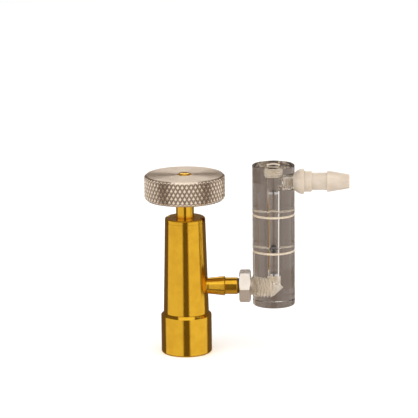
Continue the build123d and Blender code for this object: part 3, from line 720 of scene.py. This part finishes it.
def make_knob():
    """Knurled knob, turned on top, with chamfered rims and a relieved underside."""
    floor_r = KNOB_R - KNURL_DEPTH
    start = KNOB_LOW + KNOB_LOW_CHAMFER - KNURL_DEPTH
    end = KNOB_TOP - KNOB_TOP_CHAMFER + KNURL_DEPTH
    rows = ceil((end - start) / (KNURL_RISE / (2 * KNURL_STEPS)))
    heights = [start + (end - start) * i / rows for i in range(rows + 1)]
    below = rounded(
        [
            (STEM_R + 0.03, KNOB_LOW + KNOB_SEAT),
            (STEM_R + 0.03, KNOB_LOW, 0.15),
            (KNOB_HUB_R, KNOB_LOW, 0.15),
            (KNOB_HUB_R + 0.5, KNOB_LOW + KNOB_RELIEF, 0.2),
            (KNOB_R - KNOB_RIM - 0.6, KNOB_LOW + KNOB_RELIEF, 0.2),
            (KNOB_R - KNOB_RIM, KNOB_LOW, 0.15),
            (KNOB_R - KNOB_LOW_CHAMFER, KNOB_LOW, 0.12),
            (floor_r, start),
        ]
    )
    above = rounded(
        [
            (floor_r, end),
            (KNOB_R - KNOB_TOP_CHAMFER, KNOB_TOP, 0.12),
            (RIVET_R + 0.45, KNOB_TOP, 0.1),
            (RIVET_R + 0.03, KNOB_TOP - 0.35, 0.1),
            (RIVET_R + 0.03, KNOB_LOW + KNOB_SEAT),
        ]
    )

    def column(angle):
        rim = []
        for z in heights:
            cone = KNOB_R - max(0, KNOB_LOW + KNOB_LOW_CHAMFER - z, z - KNOB_TOP + KNOB_TOP_CHAMFER)
            rim.append((min(floor_r + KNURL_DEPTH * knurl(angle, z), cone), z))
        return below[:-1] + rim + above[1:]

    knob = turned("knurled_knob", column, closed=True, columns=KNURLS * KNURL_STEPS)
    fit(shade(knob, 24), "knob", "knob", KNOB_NICKEL)


# ---------------------------------------------------------------- outlet line
def make_stub():
    """Flared nipple between the body and the sleeve, threaded at both ends."""
    middle = rounded(
        [
            (STUB_ROOT_R, SPOT_FACE_X + 0.02),
            (STUB_START_R, SPOT_FACE_X + 0.02, 0.08),
            (STUB_START_R, SPOT_FACE_X + STUB_START_LENGTH, 1.0),
            (STUB_R, STUB_FLARE - 0.15, 0.1),
            (STUB_R - 0.15, STUB_FLARE, 0.08),
            (STUB_ROOT_R, STUB_FLARE),
        ]
    )
    inner, outer = low("outlet_stub", X), high("outlet_stub", X)

    def column(angle):
        near = helix(inner, SPOT_FACE_X, STUB_PITCH, STUB_THREAD_R, STUB_ROOT_R, angle)
        far = helix(STUB_FLARE, outer, STUB_PITCH, STUB_THREAD_R, STUB_ROOT_R, angle)
        return [(LINE_BORE_R, inner), *near, *middle, *far, (LINE_BORE_R, outer)]

    stub = turned("outlet_nipple", column, closed=True, columns=112, place=lying(PORT_Z))
    fit(shade(stub), "outlet_stub", "housing", SIDE_BRASS)


def make_sleeve():
    """Lock sleeve with a rounded outer end."""
    sleeve = lathe(
        "locking_sleeve",
        [
            (PORT_R, SLEEVE_START),
            (SLEEVE_R, SLEEVE_START, 0.14),
            (SLEEVE_R, SLEEVE_END, 0.55),
            (PORT_R, SLEEVE_END, 0.1),
        ],
        closed=True,
        place=lying(PORT_Z),
    )
    fit(shade(sleeve), "lock_sleeve", "housing", SIDE_BRASS)


def make_washer():
    """Dark sealing washer with rounded edges."""
    inner, outer = low("adapter_washer", X), high("adapter_washer", X)
    washer = lathe(
        "sealing_washer",
        [(PORT_R, inner), (WASHER_R, inner, 0.15), (WASHER_R, outer, 0.15), (PORT_R, outer)],
        closed=True,
        columns=96,
        place=lying(PORT_Z),
    )
    fit(shade(washer), "adapter_washer", "housing", RUBBER)


def make_hexagon():
    """Hexagon with turned chamfers, drilled for the nipple's thread."""
    end = HEX_START + HEX_LENGTH
    blank = prism("hexagon_nut", hexagon(HEX_CORNER_R, pi / 2), HEX_START, end, lying(PORT_Z))
    form = lathe(
        "form",
        [
            (0, HEX_START),
            (HEX_CORNER_R - 0.85, HEX_START),
            (HEX_CORNER_R + 0.1, HEX_START + 0.5),
            (HEX_CORNER_R + 0.1, end - 0.5),
            (HEX_CORNER_R - 0.85, end),
            (0, end),
        ],
        place=lying(PORT_Z),
    )
    cut(blank, form, operation="INTERSECT")
    cut(blank, drill("bore", PORT_R, start=10, end=end - 1, columns=64, place=lying(PORT_Z)))
    soften(blank, 0.09, 3)
    fit(shade(blank), "hex_adapter", "housing", NICKEL)


def make_pipe_thread():
    """Neck and tapered pipe thread beyond the hexagon."""
    end = HEX_START + HEX_LENGTH
    neck_r = PIPE_R - PIPE_DEPTH

    def column(angle):
        screw = helix(end + 0.5, PIPE_END - 0.1, PIPE_PITCH, PIPE_R, neck_r, angle, PIPE_TAPER)
        inner = [(LINE_BORE_R, end - 0.9), (neck_r, end - 0.9)]
        return [*inner, *screw, (neck_r - 0.7, PIPE_END), (LINE_BORE_R, PIPE_END)]

    nose = turned("adapter_pipe_thread", column, closed=True, place=lying(PORT_Z))
    nose.data.materials.append(NICKEL)
    shade(nose)
    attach(nose, "housing")


# ---------------------------------------------------------------- flow tube
def make_tube():
    """Clear rod with two engraved rings, its tapered bore and its side holes."""
    upright = Matrix.Translation((TUBE_X, 0, 0))
    corners = [(0, TUBE_LOW), (TUBE_R - 0.25, TUBE_LOW, 0.06), (TUBE_R, TUBE_LOW + 0.25, 0.08)]
    for drop in sorted(RING_DROPS, reverse=True):
        z = TUBE_TOP - drop
        corners += [
            (TUBE_R, z - RING_WIDTH / 2, 0.03),
            (TUBE_R - RING_DEPTH, z, 0.05),
            (TUBE_R, z + RING_WIDTH / 2, 0.03),
        ]
    corners += [(TUBE_R, TUBE_TOP - 0.25, 0.08), (TUBE_R - 0.25, TUBE_TOP, 0.06), (0, TUBE_TOP)]
    rod = lathe("flow_tube_rod", corners, columns=224, place=upright)
    crest, start = PLUG_R + THREAD_GAP, PLUG_LOW - PLUG_PITCH
    root = crest - PLUG_THREAD_DEPTH

    def bore_column(angle):
        screw = helix(start, TUBE_TOP - 0.3, PLUG_PITCH, crest, root, angle)
        low_bore = [(0, PORT_Z), (BORE_LOW_R, PORT_Z), (BORE_LOW_R, BORE_TAPER_LOW)]
        pocket = [(BORE_TOP_R, BORE_TAPER_TOP), (BORE_TOP_R, PLUG_POCKET), (root, PLUG_POCKET)]
        return [*low_bore, *pocket, *screw, (PLUG_R + 0.33, TUBE_TOP + 0.1), (0, TUBE_TOP + 0.1)]

    bore = turned("bore", bore_column, columns=96, place=upright)
    mouth = HEX_START + HEX_LENGTH + 0.5 - PIPE_PITCH
    widest = PIPE_R + PIPE_TAPER * PIPE_PITCH + PIPE_GAP

    def inlet_column(angle):
        screw = helix(mouth, TUBE_X, PIPE_PITCH, widest, widest - PIPE_DEPTH, angle, PIPE_TAPER)
        return [(0, mouth), *screw, (0, TUBE_X + TAPPED_CONE)]

    inlet = turned("inlet", inlet_column, columns=128, place=lying(PORT_Z))
    thread_r = BARB_THREAD_R + THREAD_GAP
    outlet = lathe(
        "outlet",
        [
            (0, TUBE_X + 0.003),
            (BORE_LOW_R - 0.01, TUBE_X + 0.003),
            (BORE_LOW_R - 0.01, BARB_HOLE_START),
            (thread_r, BARB_HOLE_START),
            (thread_r, BARB_SEAT),
            (BARB_SPOT_R, BARB_SEAT),
            (BARB_SPOT_R, TUBE_X + 2 * TUBE_R),
            (0, TUBE_X + 2 * TUBE_R),
        ],
        columns=96,
        place=lying(BARB_Z),
    )
    cut(rod, bore, inlet, outlet)
    shade(rod, 26)
    true_cylinder(rod)
    fit(rod, "flow_tube", "housing", ACRYLIC)
    rod.data.materials.append(FROST)
    for face in rod.data.polygons:
        face.material_index = int(is_matt(face.center / MM))


def is_matt(spot):
    """Whether a tool has left that point of the tube matt."""
    reach = hypot(spot.x - TUBE_X, spot.y)
    in_inlet = spot.x < TUBE_X + TAPPED_CONE and hypot(spot.y, spot.z - PORT_Z) < PIPE_R + 0.2
    in_plug_hole = spot.z > PLUG_POCKET - 0.1 and reach < PLUG_R + 0.5
    rings = [abs(spot.z - TUBE_TOP + drop) < RING_WIDTH / 2 for drop in RING_DROPS]
    in_ring = any(rings) and TUBE_R - RING_DEPTH - 0.1 < reach < TUBE_R - 0.02
    on_bore = reach < BORE_TOP_R + 0.05 and not in_plug_hole and not in_inlet
    return (in_inlet or in_plug_hole or in_ring) and not on_bore


def true_cylinder(rod):
    """Gives the rod's outer wall the exact normals of a cylinder, also beside its holes."""
    mesh = rod.data
    normals = [Vector(corner.vector) for corner in mesh.corner_normals]
    for face in mesh.polygons:
        wall = Vector((face.center.x - TUBE_X * MM, face.center.y, 0))
        on_wall = abs(face.normal.z) < 0.02 and abs(wall.length / MM - TUBE_R) < 0.02
        if on_wall and wall.normalized().dot(face.normal) > 0.99:
            for loop in face.loop_indices:
                spot = mesh.vertices[mesh.loops[loop].vertex_index].co
                normals[loop] = Vector((spot.x - TUBE_X * MM, spot.y, 0)).normalized()
    mesh.normals_split_custom_set(normals)


def make_ball():
    """Polished float ball."""
    outline = [(BALL_R * sin(pi * i / 32), BALL_Z - BALL_R * cos(pi * i / 32)) for i in range(33)]
    place = Matrix.Translation((TUBE_X, 0, 0))
    ball = turned("float_ball_polished", lambda angle: outline, columns=64, place=place)
    fit(shade(ball), "float_ball", "float_ball", BALL_STEEL)


def make_plug():
    """Socket set screw in the mouth of the bore."""

    def column(angle):
        screw = helix(PLUG_LOW, PLUG_TOP, PLUG_PITCH, PLUG_R, PLUG_R - PLUG_THREAD_DEPTH, angle)
        return [(0, PLUG_LOW), *screw, (0, PLUG_TOP)]

    place = Matrix.Translation((TUBE_X, 0, 0))
    screw = turned("socket_set_screw", column, columns=96, place=place)
    plan = hexagon(PLUG_SOCKET_FLATS / 3 ** 0.5)
    cut(screw, prism("socket", plan, PLUG_TOP - PLUG_SOCKET_DEPTH, PLUG_TOP + 1, place))
    fit(shade(screw), "top_plug", "housing", STEEL)


# ---------------------------------------------------------------- hose barb
def make_barb():
    """Moulded hose barb with its threaded end."""
    root = BARB_THREAD_R - BARB_THREAD_DEPTH
    outside = rounded(
        [
            (root, BARB_SEAT + 0.03),
            (BARB_FLANGE_RS[0], BARB_SEAT + 0.03, 0.1),
            (BARB_FLANGE_RS[0], BARB_FLANGE_XS[0]),
            (BARB_FLANGE_RS[1], BARB_FLANGE_XS[1], 0.6),
            (BARB_FLANGE_RS[2], BARB_FLANGE_XS[2], 1.2),
            (BARB_FLANGE_R, BARB_FLANGE_END, 0.3),
            (BARB_COLLAR_R, BARB_FLANGE_END, 0.25),
            (BARB_COLLAR_R, BARB_COLLAR_END, 0.3),
            (BARB_SHANK_R, BARB_COLLAR_END, 0.25),
            (BARB_SHANK_R, BARB_CREST[0], 0.25),
            (BARB_CREST_R, BARB_CREST[0], 0.12),
            (BARB_CREST_R, BARB_CREST[1], 0.3),
            (BARB_TIP_R + 0.3, BARB_TIP - 0.2, 0.2),
            (BARB_TIP_R, BARB_TIP, 0.2),
            (BARB_BORE_R, BARB_TIP, 0.2),
            (BARB_BORE_R, BARB_START),
        ]
    )

    def column(angle):
        screw = helix(BARB_START, BARB_SEAT, BARB_PITCH, BARB_THREAD_R, root, angle)
        return screw + outside[1:]

    barb = turned("nylon_hose_barb", column, closed=True, place=lying(BARB_Z))
    fit(shade(barb), "hose_barb", "housing", NYLON)


# ---------------------------------------------------------------- springs
def make_spring(node):
    """Copy of the frame's coil spring, in place, in spring steel, riding on the housing.
    """
    coil = bpy.data.objects.new(node + "_coil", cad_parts[node].data.copy())
    bpy.context.scene.collection.objects.link(coil)
    coil.data.transform(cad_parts[node].matrix_world)
    fit(coil, node, "housing", SPRING_STEEL)
    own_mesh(coil)


# ---------------------------------------------------------------- all pieces
# Frame nodes that keep their shape, with their finish.
INNER_FINISHES = {
    "seat_insert": INNER_BRASS,
    "flow_jet": INNER_BRASS,
    "filter_retainer": INNER_BRASS,
    "poppet": INNER_BRASS,
    "piston": INNER_BRASS,
    "spring_button": INNER_BRASS,
    "thrust_ball": STEEL,
    "lower_ball_stop": STEEL,
    "upper_ball_stop": STEEL,
    "depressor_pin": STEEL,
    "inlet_filter": BRONZE,
    "seat_disc": PLASTIC,
    "inlet_gasket": PLASTIC,
    "coupling_seal": RUBBER,
    "seat_insert_seal": RUBBER,
    "piston_seal": RUBBER,
    "top_plug_seal": RUBBER,
}

make_collar()
make_body()
make_bonnet()
make_stem()
make_knob()
make_stub()
make_sleeve()
make_washer()
make_hexagon()
make_pipe_thread()
make_tube()
make_ball()
make_plug()
make_barb()
make_spring("range_spring")
make_spring("poppet_spring")
for node, material in INNER_FINISHES.items():
    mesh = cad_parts[node].data
    mesh.materials.clear()
    mesh.materials.append(material)


# ---------------------------------------------------------------- studio
CAMERA_AZIMUTH, CAMERA_ELEVATION, CAMERA_ROLL = radians(3.0), radians(12.98), radians(-0.66)
CAMERA_DISTANCE = 0.9
CAMERA_TARGET = Vector((0.009, 0, 0.0551))
CAMERA_LENS, CAMERA_SENSOR = 207.4, 36
SURROUNDINGS = (0.17, 0.13, 0.105, 1)  # what metal and clear plastic mirror besides the lamps
UNDERNEATH = (0.50, 0.42, 0.37, 1)  # the same from below, where the pale floor lies
UNDERNEATH_FADE = (-0.6, -0.85)  # upward part of a direction, where that starts and where it is full


def toward(azimuth, elevation):
    """Unit vector to that azimuth, from -Y towards +X, and elevation."""
    return Vector((sin(azimuth) * cos(elevation), -cos(azimuth) * cos(elevation), sin(elevation)))


def facing(back, distance):
    """Place at that distance from the target in a direction, looking back at the target."""
    turn = back.to_track_quat("Z", "Y").to_matrix().to_4x4()
    return Matrix.Translation(CAMERA_TARGET + back * distance) @ turn


def add_camera():
    """Camera in front of the object and a little above it."""
    camera = bpy.data.objects.new("camera", bpy.data.cameras.new("camera"))
    bpy.context.scene.collection.objects.link(camera)
    place = facing(toward(CAMERA_AZIMUTH, CAMERA_ELEVATION), CAMERA_DISTANCE)
    camera.matrix_world = place @ Matrix.Rotation(CAMERA_ROLL, 4, "Z")
    camera.data.lens = CAMERA_LENS
    camera.data.sensor_width = CAMERA_SENSOR
    camera.data.clip_start = 0.01
    bpy.context.scene.camera = camera


def add_softbox(name, azimuth, elevation, distance, size, radiance):
    """Rectangular soft lamp aimed at the object, with its azimuth measured from the camera's."""
    width, height = size
    lamp = bpy.data.lights.new(name, "AREA")
    lamp.shape = "RECTANGLE"
    lamp.size, lamp.size_y = width, height
    lamp.energy = pi * width * height * radiance
    box = bpy.data.objects.new(name, lamp)
    bpy.context.scene.collection.objects.link(box)
    back = toward(CAMERA_AZIMUTH + radians(azimuth), radians(elevation))
    box.matrix_world = facing(back, distance)
    return box


def add_floor():
    """Plain pale floor, which metal and clear plastic don't mirror."""
    bpy.ops.mesh.primitive_plane_add(size=12)
    floor = bpy.context.object
    floor.name = "studio_floor"
    m = Nodes("studio_floor")
    m.set(Roughness=0.9, Base_Color=m.mixed(m.noise(60, 2), grey(0.94), grey(0.955)))
    floor.data.materials.append(m.material)
    floor.visible_glossy = False
    floor.visible_transmission = False


def set_world():
    """Pale to the eye and to matt surfaces, and dim in metal and through clear plastic.

    Light that has met a matt surface on its way is pale too, also behind clear plastic.
    """
    world = bpy.data.worlds.new("studio")
    bpy.context.scene.world = world
    world.use_nodes = True
    tree = world.node_tree

    def add(kind, **settings):
        node = tree.nodes.new("ShaderNode" + kind)
        for key, value in settings.items():
            setattr(node, key, value)
        return node

    path = add("LightPath")
    mirrored = add("Math", operation="MAXIMUM")
    tree.links.new(path.outputs["Is Glossy Ray"], mirrored.inputs[0])
    tree.links.new(path.outputs["Is Transmission Ray"], mirrored.inputs[1])
    matt = add("Math", operation="GREATER_THAN")
    tree.links.new(path.outputs["Diffuse Depth"], matt.inputs[0])
    dim = add("Math", operation="SUBTRACT", use_clamp=True)
    tree.links.new(mirrored.outputs[0], dim.inputs[0])
    tree.links.new(matt.outputs[0], dim.inputs[1])
    height = add("SeparateXYZ")
    tree.links.new(add("TexCoord").outputs["Generated"], height.inputs[0])
    below = add("MapRange")
    for socket, value in zip(below.inputs[1:5], (*UNDERNEATH_FADE, 0, 1)):
        socket.default_value = value
    tree.links.new(height.outputs["Z"], below.inputs[0])
    around = add("Mix", data_type="RGBA")
    around.inputs[6].default_value = SURROUNDINGS
    around.inputs[7].default_value = UNDERNEATH
    tree.links.new(below.outputs[0], around.inputs["Factor"])
    mix = add("Mix", data_type="RGBA")
    mix.inputs[6].default_value = grey(0.95)
    tree.links.new(around.outputs[2], mix.inputs[7])
    tree.links.new(dim.outputs[0], mix.inputs["Factor"])
    tree.links.new(mix.outputs[2], tree.nodes["Background"].inputs["Color"])


add_camera()
add_floor()
set_world()
add_softbox("softbox_left", azimuth=-62, elevation=2, distance=0.8, size=(1.75, 1.5), radiance=0.78)
add_softbox("softbox_right", azimuth=62, elevation=2, distance=0.8, size=(1.75, 1.5), radiance=0.85)
add_softbox("softbox_top", azimuth=0, elevation=62, distance=0.8, size=(0.8, 0.85), radiance=1.0)
rim = add_softbox("softbox_back", azimuth=180, elevation=32, distance=0.9, size=(0.45, 0.3), radiance=1.5)
rim.visible_transmission = False
bpy.context.scene.view_settings.view_transform = "Standard"
